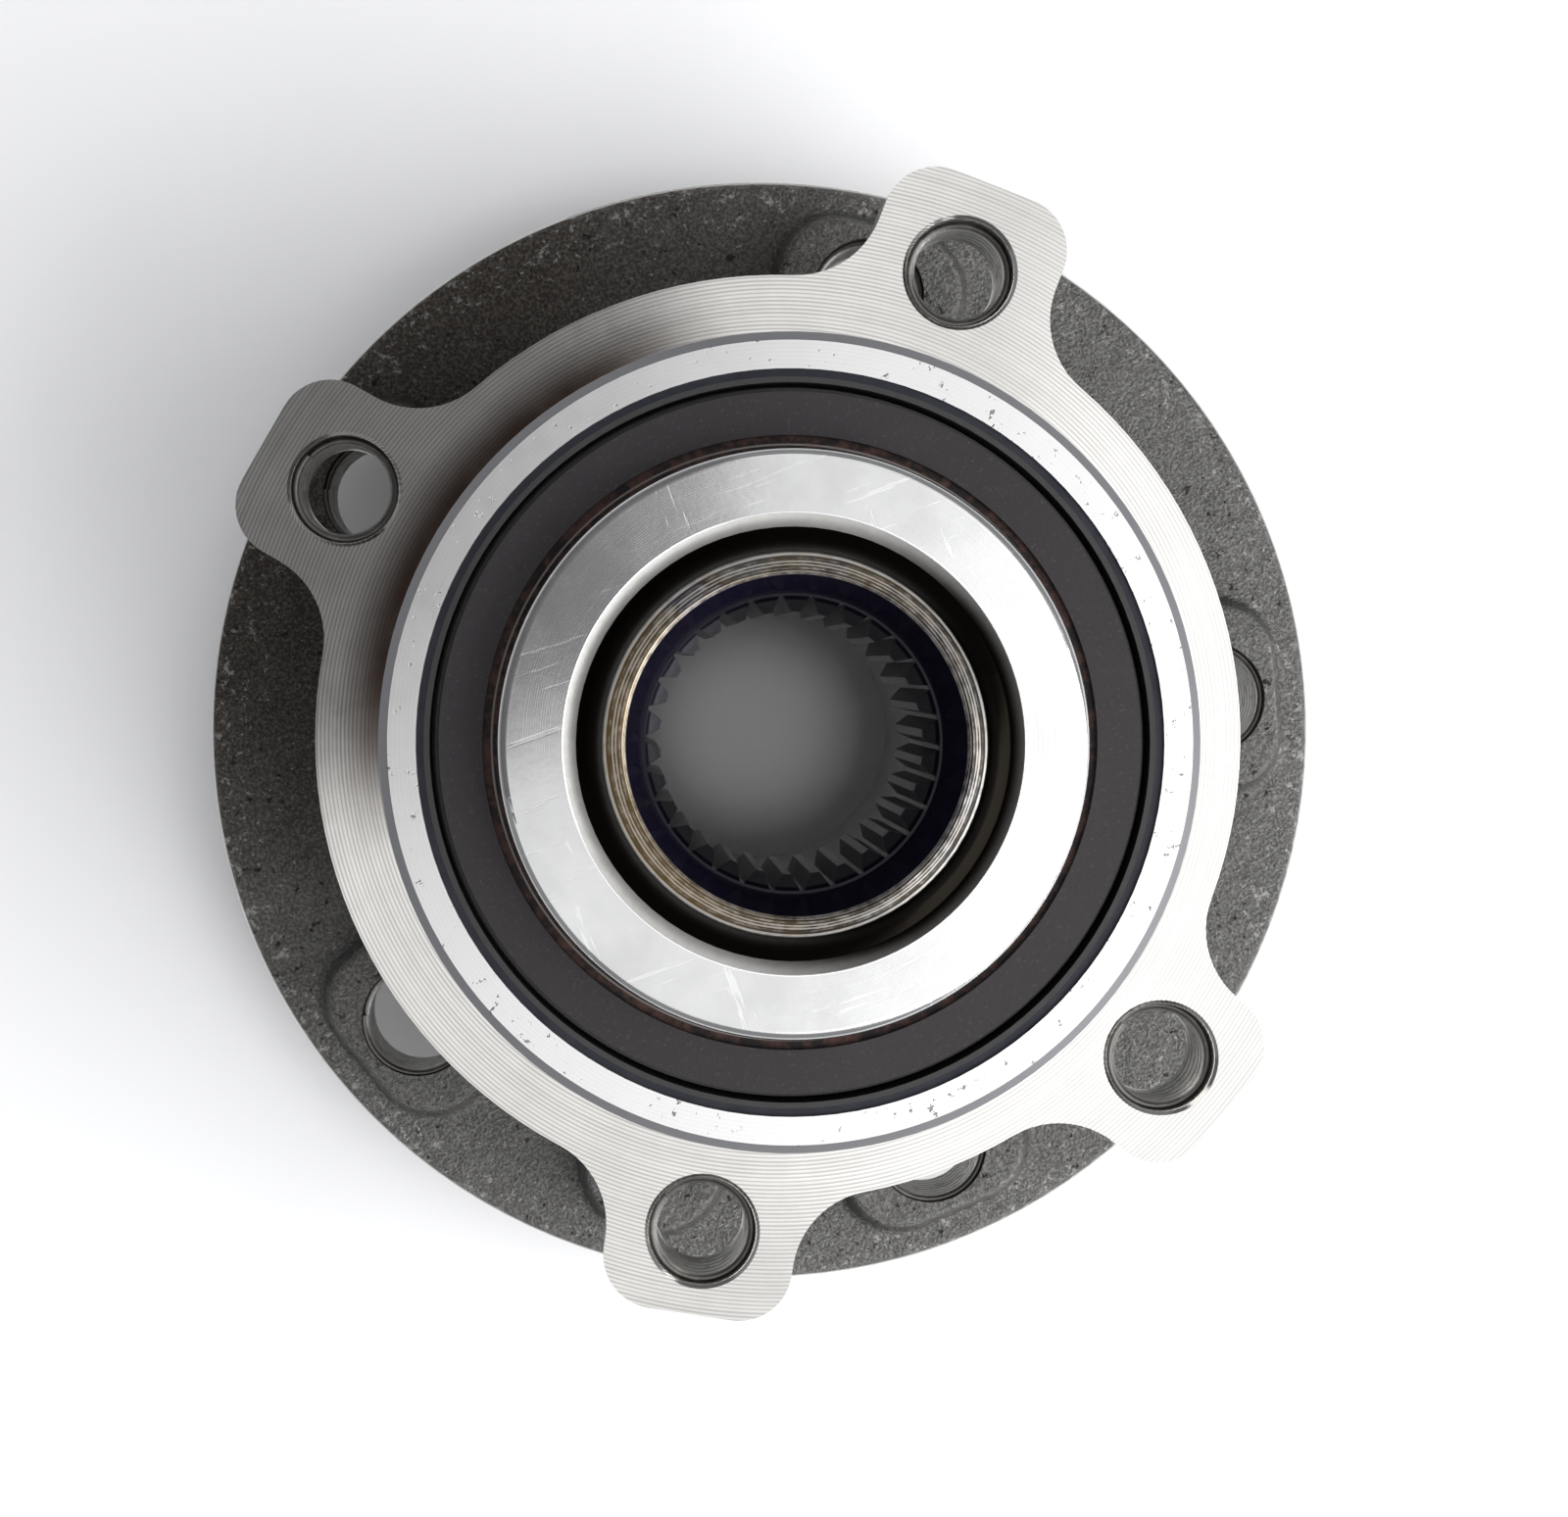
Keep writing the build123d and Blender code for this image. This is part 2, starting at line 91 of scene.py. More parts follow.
class Graph:
    """A node tree in the making. Every node but Math comes from its one method, node."""

    def __init__(self, tree):
        self.tree = tree

    def node(self, kind, settings=None, inputs=None, output=0):
        made = self.tree.nodes.new(kind)
        for name, value in (settings or {}).items():
            if name == "stops":
                self.set_stops(made.color_ramp.elements, value)
            else:
                setattr(made, name, value)
        for key, value in (inputs or {}).items():
            if isinstance(value, Field):
                self.tree.links.new(value.socket, made.inputs[key])
            else:
                made.inputs[key].default_value = value
        return Field(self, made.outputs[output]) if made.outputs else made

    def set_stops(self, elements, stops):
        while len(elements) < len(stops):
            elements.new(1.0)
        for element, (place, colour) in zip(elements, stops):
            element.position = place
            element.color = (*colour, 1.0)


class Finish(Graph):
    """A surface finish. Lengths over the surface are in millimetres, and so are bump heights."""

    def __init__(self, name):
        self.material = bpy.data.materials.new(name)
        self.material.use_nodes = True
        super().__init__(self.material.node_tree)
        self.tree.nodes.clear()
        self.place = self.node("ShaderNodeTexCoord", output="Object")
        self.x, self.y, self.z = (
            1000 * self.node("ShaderNodeSeparateXYZ", {}, {0: self.place}, axis) for axis in "XYZ"
        )
        self.radius = (self.x * self.x + self.y * self.y) ** 0.5

    def noise(self, size, detail=3.0, roughness=0.55, squash=(1.0, 1.0, 1.0), seed=0.0):
        """Noise from 0 to 1, with blotches about size millimetres across."""
        place = self.node(
            "ShaderNodeMapping", {}, {0: self.place, "Location": (seed, seed, seed), "Scale": squash}
        )
        values = {"Vector": place, "Scale": 1000 / size, "Detail": detail, "Roughness": roughness}
        return self.node("ShaderNodeTexNoise", {"noise_dimensions": "3D"}, values)

    def rings(self, pitch, along=None, detail=2.0):
        """Noise from 0 to 1 along one line only, the radius unless another is given, as tool marks have."""
        along = self.radius if along is None else along
        values = {"W": along, "Scale": 1 / pitch, "Detail": detail, "Roughness": 0.6}
        return self.node("ShaderNodeTexNoise", {"noise_dimensions": "1D"}, values)

    def step(self, value, low, high):
        """Rises smoothly from 0 to 1 as value goes from low to high."""
        values = {"Value": value, "From Min": low, "From Max": high}
        return self.node("ShaderNodeMapRange", {"interpolation_type": "SMOOTHSTEP", "clamp": True}, values)

    def past(self, value, edge, soft=0.05):
        """1 where value is beyond an edge and 0 short of it, with a soft change between."""
        return self.step(value, edge - soft, edge + soft)

    def within(self, value, low, high, soft=0.05):
        """1 where value is between two edges."""
        return self.past(value, low, soft) * (1 - self.past(value, high, soft))

    def ramp(self, value, stops):
        """Colours along a value, each stop a place and a colour."""
        return self.node("ShaderNodeValToRGB", {"stops": stops}, {0: value})

    def blend(self, share, first, second):
        """Mixes two colours."""
        first, second = ((*c, 1.0) if isinstance(c, tuple) else c for c in (first, second))
        return self.node(
            "ShaderNodeMix", {"data_type": "RGBA"}, {"Factor": share, 6: first, 7: second}, 2
        )

    def between(self, share, first, second):
        """Mixes two values."""
        return first + share * (second - first)

    def facing(self, degrees):
        """1 on the side of the hub axis at that angle from X, 0 square to it and -1 behind."""
        angle = math.radians(degrees)
        return (self.x * math.cos(angle) + self.y * math.sin(angle)) / self.radius

    def surface(self, colour, roughness, metallic, height=None, **constants):
        """Ends the tree, and returns the material."""
        values = {"Base Color": colour, "Roughness": roughness, "Metallic": metallic}
        values.update({name.replace("_", " "): value for name, value in constants.items()})
        if height is not None:
            millimetre = 0.001
            bump = {"Strength": 1.0, "Distance": millimetre, "Height": height}
            values["Normal"] = self.node("ShaderNodeBump", {}, bump)
        shader = self.node("ShaderNodeBsdfPrincipled", {}, values)
        self.node("ShaderNodeOutputMaterial", {}, {"Surface": shader})
        return self.material


def dress(material, *names):
    """Gives one finish to CAD nodes."""
    for name in names:
        piece = frame["nodes"][name]
        for place in piece.material_slots:
            place.material = material


def forging_skin(finish, painted_shade_side=126.0):
    """Colour, roughness, metallic and height of a shot-blasted forging, darker on one side with painted
    shade.
    """
    grain = finish.noise(0.42, 4.0, 0.65)
    dimples = finish.noise(2.4, 2.0, 0.5, seed=0.4)
    crests = finish.step(grain, 0.42, 0.62)
    specks = finish.step(finish.noise(0.8, 2.0, 0.7, seed=0.2), 0.66, 0.74)
    pits = 1 - finish.step(finish.noise(1.1, 2.0, 0.5, seed=0.7), 0.26, 0.36)
    # painted shade: the skin is painted darker towards one side, with a drifting edge, as if in shadow
    shade_lean = finish.facing(painted_shade_side) + 0.5 * finish.noise(24.0, 3.0, seed=0.9) - 0.25
    oil_and_shade = finish.step(shade_lean, 0.2, 0.95)
    mottle = finish.noise(3.5, 4.0, 0.65, seed=1.3)
    lit_skin = finish.blend(crests * 0.6 + mottle * 0.5, (0.085, 0.083, 0.079), (0.225, 0.222, 0.215))
    shaded_skin = finish.blend(crests * 0.7 + mottle * 0.3, (0.034, 0.029, 0.025), (0.125, 0.112, 0.100))
    colour = finish.blend(specks * 0.6, finish.blend(oil_and_shade, lit_skin, shaded_skin), (0.42, 0.41, 0.39))
    colour = finish.blend(pits * 0.8, colour, (0.010, 0.008, 0.007))
    roughness = 0.36 + 0.10 * grain
    metallic = 0.88 + 0.1 * specks
    height = 0.36 * grain + 0.30 * dimples - 0.05 * pits
    return colour, roughness, metallic, height


def tool_path(finish):
    """How far a turning tool has come along the profile, with a slight waver."""
    return finish.radius + finish.z + 0.05 * finish.noise(30.0, 1.0)


def feed_wave(along, feed):
    """A wave from -1 to 1 with one crest at each turn of the tool's feed."""
    turns = along * (2 * math.pi / feed)
    return turns.maths("SINE", turns)


def turned_marks(finish, feed, feed_height=0.0016, chatter_height=0.004, chatter=0.40):
    """Height of the marks left by a turning tool."""
    along = tool_path(finish)
    return feed_height * feed_wave(along, feed) + chatter_height * finish.rings(chatter, along)


class Pattern(Graph):
    """A Geometry Nodes tree with named inputs, run once on a host mesh and kept as a plain mesh."""

    kinds = {"Geometry": "NodeSocketGeometry", "Material": "NodeSocketMaterial"}

    def __init__(self, name, *inputs):
        super().__init__(bpy.data.node_groups.new(name, "GeometryNodeTree"))
        self.keys = {}
        for label in ("Geometry", *inputs):
            socket = self.tree.interface.new_socket(
                label, in_out="INPUT", socket_type=self.kinds.get(label, "NodeSocketFloat")
            )
            self.keys[label] = socket.identifier
        self.tree.interface.new_socket("Geometry", in_out="OUTPUT", socket_type="NodeSocketGeometry")
        entry = self.tree.nodes.new("NodeGroupInput")
        self.given = {label: Field(self, entry.outputs[label]) for label in self.keys}

    def close(self, geometry):
        """Ends the tree: real geometry with its material."""
        real = self.node("GeometryNodeRealizeInstances", {}, {"Geometry": geometry})
        made = self.node(
            "GeometryNodeSetMaterial", {}, {"Geometry": real, "Material": self.given["Material"]}
        )
        self.node("NodeGroupOutput", {}, {"Geometry": made})

    def run(self, name, points, **values):
        """Runs the tree on loose points, and returns the result as a mesh object."""
        mesh = bpy.data.meshes.new(name + "_points")
        mesh.from_pydata(points, [], [])
        host = bpy.data.objects.new(name, mesh)
        bpy.context.scene.collection.objects.link(host)
        modifier = host.modifiers.new(name, "NODES")
        modifier.node_group = self.tree
        for label, value in values.items():
            modifier[self.keys[label.replace("_", " ")]] = value
        host.update_tag()
        done = host.evaluated_get(bpy.context.evaluated_depsgraph_get())
        plain = bpy.data.meshes.new_from_object(done)
        host.modifiers.remove(modifier)
        host.data = plain
        return host


# A tapped thread is one ridge of trapezoid section that winds up the wall of the hole. Its section
# is given in shares of the pitch, and its foot is sunk a little way into the wall.
thread_depth = 0.54
foot_sunk = 0.04
foot_half = 0.44
crest_half = 0.12
thread = Pattern("tapped_thread", "Hole Radius", "Pitch", "Length", "Material")
hole_r = thread.given["Hole Radius"]
pitch = thread.given["Pitch"]
length = thread.given["Length"]
depth = pitch * thread_depth
coil = thread.node(
    "GeometryNodeCurveSpiral", {},
    {"Resolution": 56, "Rotations": length / pitch, "Start Radius": hole_r, "End Radius": hole_r,
     "Height": length},
)
coil = thread.node("GeometryNodeSetCurveNormal", {"mode": "Z_UP"}, {"Curve": coil})


def section_point(out, up):
    """A corner of the ridge's section."""
    return thread.node("ShaderNodeCombineXYZ", {}, {"X": out, "Y": up})


section = thread.node(
    "GeometryNodeCurvePrimitiveQuadrilateral", {"mode": "POINTS"},
    {
        "Point 1": section_point(pitch * -foot_sunk, pitch * -foot_half),
        "Point 2": section_point(depth, pitch * -crest_half),
        "Point 3": section_point(depth, pitch * crest_half),
        "Point 4": section_point(pitch * -foot_sunk, pitch * foot_half),
    },
)
section_x = thread.node("ShaderNodeSeparateXYZ", {}, {0: thread.node("GeometryNodeInputPosition")})
# the finish reads from this attribute how far a point has risen from the foot to the crest, and paints
# shade towards the foot
section = thread.node(
    "GeometryNodeStoreNamedAttribute", {"data_type": "FLOAT", "domain": "POINT"},
    {"Geometry": section, "Name": "rise", "Value": section_x / depth},
)
ridge = thread.node(
    "GeometryNodeCurveToMesh", {}, {"Curve": coil, "Profile Curve": section, "Fill Caps": True}
)
thread.close(
    thread.node("GeometryNodeInstanceOnPoints", {}, {"Points": thread.given["Geometry"], "Instance": ridge})
)

tapped = Finish("tapped_steel")
rise = tapped.node("ShaderNodeAttribute", {"attribute_name": "rise"}, output=2)
oil_and_shade = tapped.step(tapped.noise(2.2, 3.0, 0.6, seed=6.0), 0.50, 0.66)
# painted shade and light: each ridge is painted dark towards its foot, as the shadow under the ridge above,
# and light at its crest
crest = tapped.step(rise, 0.66, 0.97)
ridge_shade_and_light = tapped.blend(crest, (0.10, 0.095, 0.09), (0.92, 0.91, 0.89))
tapped.surface(
    tapped.blend(oil_and_shade * 0.4, ridge_shade_and_light, (0.16, 0.15, 0.14)),
    0.30 + 0.16 * tapped.noise(1.2),
    1.0 - 0.15 * oil_and_shade,
    0.02 * tapped.noise(0.5, 3.0),
)


def tap(name, hole_names, pitch, body):
    """Threads the holes of the mounts whose names start so, along each hole's plain wall."""
    holes = [mount for mount in frame["record"]["mounts"] if mount["name"].startswith(hole_names)]
    radius, wall = (holes[0]["dims"][size] / 1000 for size in ("r_mm", "length_mm"))
    ridge_width = 2 * foot_half * pitch
    end_gaps = 0.02 * pitch
    length = wall - ridge_width - end_gaps
    feet = [(*hole["pos_m"][:2], hole["pos_m"][2] - length / 2) for hole in holes]
    threads = thread.run(
        name, feet, Hole_Radius=radius, Pitch=pitch, Length=length, Material=tapped.material
    )
    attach(threads, body)


tap("knuckle_bolt_threads", "knuckle_bolt_hole", pitch=0.00175, body="stationary_ring")

# heights and radii of the turned faces in millimetres, and sides as angles from X in degrees
knuckle_face_z = 48.6
pilot_face_z = 70.9
pilot_bore_r = 42.3
dimmed_ears_side = 300.0
dimmed_face_side = 30.0
pilot_shade_side = 126.6

ring = Finish("turned_knuckle_ring")
skin_colour, skin_rough, skin_metal, skin_height = forging_skin(ring)
turned = ring.past(ring.z, knuckle_face_z)
bores = 1 - ring.past(ring.radius, pilot_bore_r, 0.1)
bright = turned.maths("MAXIMUM", turned, bores)
end_face = ring.past(ring.z, pilot_face_z)
chamfer_ring = ring.step(ring.z, pilot_face_z - 1.0, pilot_face_z - 0.85)
chamfer_ring = chamfer_ring * ring.step(ring.radius, pilot_bore_r + 0.08, pilot_bore_r + 0.14)
nicks = ring.step(ring.noise(1.1, 4.0, 0.7, seed=2.0), 0.63, 0.69) * end_face
face_feed = 0.45
face_lines = feed_wave(tool_path(ring), face_feed) + 1.6 * (ring.rings(2 * face_feed) - 0.5)
face_lines = ring.step(face_lines, -0.4, 0.8)
streaks = ring.noise(9.0, 4.0, 0.7, seed=5.0)
steel = ring.blend(streaks, (0.52, 0.51, 0.485), (0.70, 0.69, 0.665))
steel = ring.blend(face_lines * 0.5 * (1 - 0.7 * end_face), steel, (0.22, 0.21, 0.20))
# painted shade: the ear faces between radii 50 and 64 mm are painted darker grey on one side
dimmed_ears = ring.step(ring.radius, 50.0, 64.0) * ring.step(ring.facing(dimmed_ears_side), 0.3, 0.9)
steel = ring.blend(dimmed_ears * 0.6, steel, (0.36, 0.36, 0.355))
# painted shade: a narrow sector of the turned face on one side is painted darker
dimmed_face = turned * ring.step(ring.facing(dimmed_face_side), 0.83, 0.99)
steel = ring.blend(0.35 * dimmed_face, steel, (0.36, 0.36, 0.35))
steel = ring.blend(end_face * 0.6, steel, (0.63, 0.625, 0.64))
# painted shade: the turned face is painted dark brown close to the foot of the pilot, on one side only
pilot_shade = 1 - ring.step(ring.z + 4.0 * ring.noise(7.0), knuckle_face_z + 2.0, knuckle_face_z + 8.4)
pilot_shade = turned * pilot_shade * (1 - ring.step(ring.radius, 45.2, 51.5))
pilot_shade = pilot_shade * ring.step(ring.facing(pilot_shade_side), 0.6, 0.93)
steel = ring.blend(pilot_shade, steel, (0.075, 0.050, 0.040))
steel = ring.blend(chamfer_ring, steel, (0.24, 0.24, 0.25))
steel = ring.blend(nicks * 0.85, steel, (0.10, 0.09, 0.08))
ring_height = bright * (turned_marks(ring, feed=face_feed) * (1 - 0.8 * end_face) - 0.02 * nicks)
steel_rough = 0.11 + 0.08 * ring.noise(3.0) + 0.16 * end_face + 0.15 * chamfer_ring
material = ring.surface(
    ring.blend(bright, skin_colour, steel),
    ring.between(bright, skin_rough, steel_rough),
    ring.between(bright, skin_metal, 1.0 - 0.3 * nicks),
    ring_height + (1 - bright) * skin_height,
)
dress(material, "outer_ring")


# ---- wheel hub spindle --------------------------------------------------------------------------
# One steel forging: the wheel flange keeps its blasted skin on the inboard side, and the wheel face,
# rim, spigot and bores are turned. The end is rolled over hot from the tool, and shows heat tints.

wheel_side_z = 0.45
flange_edge_r = 68.7
core_r = 44.375
rim_foot_z = 75.1
rim_r = 19.7
shaft_bore_r = 17.4
nut_seat_z = 8.2
spline_foot_z = 43.0
spline_top_z = 74.3
gold_side = 186.0
rim_shade_side = -42.0

hub = Finish("hub_forging")
skin_colour, skin_rough, skin_metal, skin_height = forging_skin(hub)
scuffs = hub.noise(1.2, 4.0, 0.75, seed=12.0) + 0.10 * hub.step(hub.radius, 58.0, 68.5)
scuffs = hub.step(scuffs, 0.66, 0.73) * hub.step(hub.radius, 52.0, 64.0)
skin_colour = hub.blend(scuffs * 0.6, skin_colour, (0.46, 0.455, 0.44))
wheel_side = 1 - hub.past(hub.z, wheel_side_z, 0.15)
outer_edge = hub.past(hub.radius, flange_edge_r, 0.1)
core = 1 - hub.past(hub.radius, core_r, 0.075)
turned = wheel_side + outer_edge + core
bright = turned.maths("MINIMUM", turned, 1.0)
steel = hub.blend(hub.noise(12.0, 2.0), (0.56, 0.545, 0.51), (0.66, 0.65, 0.62))

rim = hub.past(hub.z, rim_foot_z, 0.1)
cone = rim * hub.past(hub.radius, shaft_bore_r) * (1 - hub.past(hub.radius, rim_r, 0.08))
valley = rim * hub.step(hub.radius, rim_r - 0.08, rim_r + 0.2)
tint_place = hub.noise(8.0, 3.0, 0.6, squash=(1.0, 1.0, 0.3), seed=3.0)
tints = hub.ramp(
    tint_place * 2.2 - 0.6,
    ((0.0, (0.30, 0.30, 0.31)), (0.3, (0.34, 0.31, 0.26)), (0.48, (0.36, 0.26, 0.13)),
     (0.62, (0.17, 0.12, 0.11)), (0.75, (0.12, 0.12, 0.18)), (1.0, (0.30, 0.30, 0.30))),
)
across = hub.radius + 0.12 * hub.noise(5.0, 2.0)
lines = hub.rings(0.27, across, 3.0) + 0.35 * (hub.noise(1.2, 3.0, seed=4.0) - 0.5)
lines = hub.step(lines, 0.44, 0.60)
gold = hub.step(hub.facing(gold_side), 0.2, 0.95)
tints = hub.blend(0.85 * gold, tints, (0.62, 0.41, 0.14))
# painted shade: the rim's tints are darkened a little all round and much more towards one side
rim_shade = hub.step(hub.facing(rim_shade_side), 0.0, 0.9)
tints = hub.blend(0.25 + rim_shade * 0.55, tints, (0.05, 0.046, 0.042))
grooves = hub.blend(0.62, tints, (0.015, 0.012, 0.010))
crests = hub.blend(0.55, tints, (0.95, 0.91, 0.85))
tints = hub.blend(lines, grooves, crests)
rolled_edge = hub.within(hub.radius, rim_r - 0.24, rim_r)
tints = hub.blend(rolled_edge * hub.step(hub.noise(1.6, 3.0), 0.35, 0.55), tints, (0.72, 0.70, 0.67))
steel = hub.blend(cone, steel, tints)
# painted shade: the crease between the rolled rim and the inner ring is painted near black
steel = hub.blend(valley, steel, (0.006, 0.005, 0.004))
# painted shade: the bore inside the spindle is painted near-black navy; the navy hue is the bore's own
inside = 1 - hub.step(hub.radius, shaft_bore_r - 0.02, shaft_bore_r + 0.06)
inside = inside * hub.past(hub.z, nut_seat_z, 0.1)
bore_colour = hub.blend(hub.noise(5.0), (0.006, 0.007, 0.032), (0.015, 0.010, 0.014))
teeth = inside * (1 - hub.past(hub.z, spline_top_z, 0.1)) * hub.past(hub.z, spline_foot_z, 0.2)
tooth_colour = hub.blend(hub.noise(1.2, 4.0, 0.65), (0.12, 0.12, 0.125), (0.34, 0.34, 0.35))
tooth_end = hub.past(hub.z, spline_top_z - 1.3, 0.1)
tooth_colour = hub.blend(tooth_end, tooth_colour, (0.030, 0.030, 0.034))
bore_colour = hub.blend(teeth, bore_colour, tooth_colour)
# painted shade: the ledge at the top of the splines is painted nearly black
ledge = inside * hub.within(hub.z, spline_top_z - 0.3, spline_top_z + 0.25)
steel = hub.blend(ledge, hub.blend(inside, steel, bore_colour), (0.002, 0.002, 0.006))
marks = turned_marks(hub, feed=0.3)
rim_height = cone * (0.012 * lines + 0.02 * hub.noise(0.8, 3.0)) + 0.03 * teeth * hub.noise(0.8, 4.0)
hub_height = bright * (marks * (1 - inside) * (1 - cone) + rim_height)
steel_rough = 0.20 + 0.10 * hub.noise(3.0) + 0.10 * teeth + 0.22 * cone
material = hub.surface(
    hub.blend(bright, skin_colour, steel),
    hub.between(bright, skin_rough, steel_rough),
    hub.between(bright, skin_metal, 1.0 - 0.1 * teeth - 0.6 * inside * (1 - teeth)),
    hub_height + (1 - bright) * skin_height,
)
dress(material, "hub_spindle")

tap("wheel_bolt_threads", "wheel_bolt_hole", pitch=0.0015, body="rotating_hub")
tap("disc_screw_threads", "disc_screw_hole", pitch=0.00125, body="rotating_hub")


# ---- inner ring ---------------------------------------------------------------------------------
# The inner ring is through-hardened bearing steel, pressed on the spindle and held by its rolled
# rim. Its face is ground, and carries the light scratches of handling.

race_face_z = 77.2
race_bore_edge_r = 23.83
rounding_foot_z = 73.75
shaded_side = -35.0
grease_and_shade_r = 21.0

race = Finish("ground_inner_ring")
long_scratches = race.step(race.noise(3.0, 5.0, 0.7, squash=(1.0, 0.12, 1.0), seed=5.0), 0.62, 0.67)
fine_scratches = race.step(race.noise(1.3, 4.0, 0.7, squash=(0.07, 1.0, 1.0), seed=9.0), 0.60, 0.66)
scratches = long_scratches.maths("MAXIMUM", long_scratches, 0.7 * fine_scratches)
clouds = race.noise(9.0, 5.0, 0.6)
colour = race.blend(race.step(clouds, 0.25, 0.75), (0.51, 0.51, 0.505), (0.60, 0.60, 0.60))
colour = race.blend(scratches * 0.35, colour, (0.85, 0.85, 0.85))
rounding = race.past(race.z, rounding_foot_z, 0.15) * (1 - race.past(race.radius, race_bore_edge_r, 0.03))
shaded = race.step(race.facing(shaded_side), -0.1, 0.8)
# grease, with painted shade: the dark band inside the rounding reaches further out on the shaded side
grease_and_shade = rounding * (1 - race.past(race.radius - 2.2 * shaded, grease_and_shade_r, 0.8))
smears = race.step(race.noise(1.4, 4.0, 0.7, seed=2.0), 0.35, 0.7)
# painted light and shade: the rounding is painted lighter grey on its lit side and near black on its shaded
# side
colour = race.blend(rounding * (1 - shaded), colour, (0.56, 0.555, 0.54))
colour = race.blend(rounding * 0.25 * smears, colour, (0.30, 0.29, 0.28))
colour = race.blend(rounding * 0.85 * shaded, colour, (0.05, 0.045, 0.04))
colour = race.blend(grease_and_shade, colour, (0.010, 0.008, 0.006))
# painted highlight: a thin bright line along the bore edge of the face
edge = race.within(race.radius, race_bore_edge_r, race_bore_edge_r + 0.14, 0.03)
edge = edge * race.past(race.z, race_face_z - 0.15)
ground = feed_wave(race.radius + 0.08 * race.noise(20.0, 1.0), feed=0.25)
face_height = 0.0006 * ground + 0.002 * race.rings(0.35) + 0.003 * race.noise(0.7) - 0.003 * scratches
material = race.surface(
    race.blend(edge, colour, (0.92, 0.92, 0.92)),
    0.13 + 0.06 * clouds + 0.30 * rounding,
    1.0 - 0.3 * rounding * (1 - shaded),
    face_height,
)
dress(material, "inner_ring")


# ---- seals --------------------------------------------------------------------------------------
# Each seal is a steel case pressed in the outer ring, with black nitrile rubber bonded to it. The
# inboard one runs on a slinger sheet, which carries the magnetised rubber of the speed ring.

highlight_line_r = 31.45

rubber = Finish("nitrile_rubber")
material = rubber.surface(
    rubber.blend(rubber.noise(2.0), (0.008, 0.008, 0.009), (0.020, 0.019, 0.020)),
    0.45 + 0.15 * rubber.noise(1.5),
    0.0,
    0.01 * rubber.noise(0.8, 4.0),
)
dress(material, "inboard_seal_lips", "outboard_seal_lips")

sheet = Finish("pressed_seal_sheet")
material = sheet.surface(
    sheet.blend(sheet.noise(3.0), (0.018, 0.020, 0.026), (0.040, 0.040, 0.046)),
    0.35 + 0.1 * sheet.noise(2.0),
    1.0,
    0.006 * sheet.rings(0.3),
)
dress(material, "inboard_seal_case", "outboard_seal_case")

slung = Finish("slinger_sheet")
rust = slung.step(slung.noise(1.6, 3.0, 0.6, seed=8.0), 0.4, 0.7)
# painted highlight: a thin light ring on the slinger
highlight_line = slung.within(slung.radius, highlight_line_r - 0.1, highlight_line_r + 0.1, 0.06)
# painted shade: the slinger in the gap between the rings is painted near black; the reddish patches are
# rust
colour = slung.blend(rust, (0.012, 0.010, 0.010), (0.055, 0.020, 0.014))
material = slung.surface(
    slung.blend(highlight_line * 0.7, colour, (0.20, 0.19, 0.18)),
    0.38 + 0.2 * rust,
    0.85 - 0.5 * rust,
    0.01 * slung.noise(0.8, 3.0),
)
dress(material, "inboard_slinger")

ferrite = Finish("encoder_ferrite_rubber")
dust = ferrite.step(ferrite.noise(0.45, 3.0, 0.6, seed=1.0), 0.58, 0.70)
colour = ferrite.blend(ferrite.noise(16.0, 3.0), (0.0165, 0.0135, 0.0152), (0.0245, 0.0205, 0.0230))
material = ferrite.surface(
    ferrite.blend(dust * 0.3, colour, (0.07, 0.065, 0.067)),
    0.52 + 0.1 * ferrite.noise(3.0),
    0.0,
    0.02 * ferrite.noise(0.5, 3.0),
    Specular_IOR_Level=0.32,
)
dress(material, "encoder_ring")


# ---- balls and cages ----------------------------------------------------------------------------
# Two rows of fourteen lapped steel balls run between the raceways. Each row sits in a snap cage,
# moulded from glass-filled nylon and clipped over the balls.

lapped = Finish("lapped_ball_steel")
material = lapped.surface(
    lapped.blend(lapped.noise(4.0), (0.66, 0.66, 0.67), (0.74, 0.74, 0.74)),
    0.08 + 0.05 * lapped.noise(2.0),
    1.0,
    0.0006 * lapped.noise(0.6),
)
dress(material, *(name for name in frame["nodes"] if "_ball_" in name))

nylon = Finish("cage_nylon")
material = nylon.surface(
    nylon.blend(nylon.noise(5.0, 3.0), (0.36, 0.31, 0.22), (0.46, 0.41, 0.31)),
    0.48 + 0.1 * nylon.noise(2.0),
    0.0,
    0.01 * nylon.noise(0.6, 4.0),
)
dress(material, "inboard_cage", "outboard_cage")


# ---- studio -------------------------------------------------------------------------------------
# The hub stands on its spigot on a pale sheet and is seen from straight above. A large soft light
# stands on the right, and weaker ones hang above it and come from all round.

floor_z = cad_box[0][2] - 0.0001
bpy.ops.mesh.primitive_grid_add(x_subdivisions=2, y_subdivisions=2, size=4.0, location=(0, 0, floor_z))
floor = bpy.context.object
floor.name = "paper_floor"
paper = Finish("pale_paper")
floor.data.materials.append(
    paper.surface(
        paper.blend(paper.noise(60.0, 2.0), (0.85, 0.85, 0.86), (0.89, 0.89, 0.895)),
        0.7 + 0.1 * paper.noise(3.0),
        0.0,
        0.01 * paper.noise(0.8, 3.0),
    )
)

view_turn = math.radians(-19.37)
camera_place = (-0.0159, 0.0142, 0.3832)


def in_view(right, up, height, start=(0.0, 0.0)):
    """A point given by how far right and up it is as the camera sees it, and its height, in metres."""
    cos, sin = math.cos(view_turn), math.sin(view_turn)
    return (start[0] + right * cos - up * sin, start[1] + right * sin + up * cos, height)


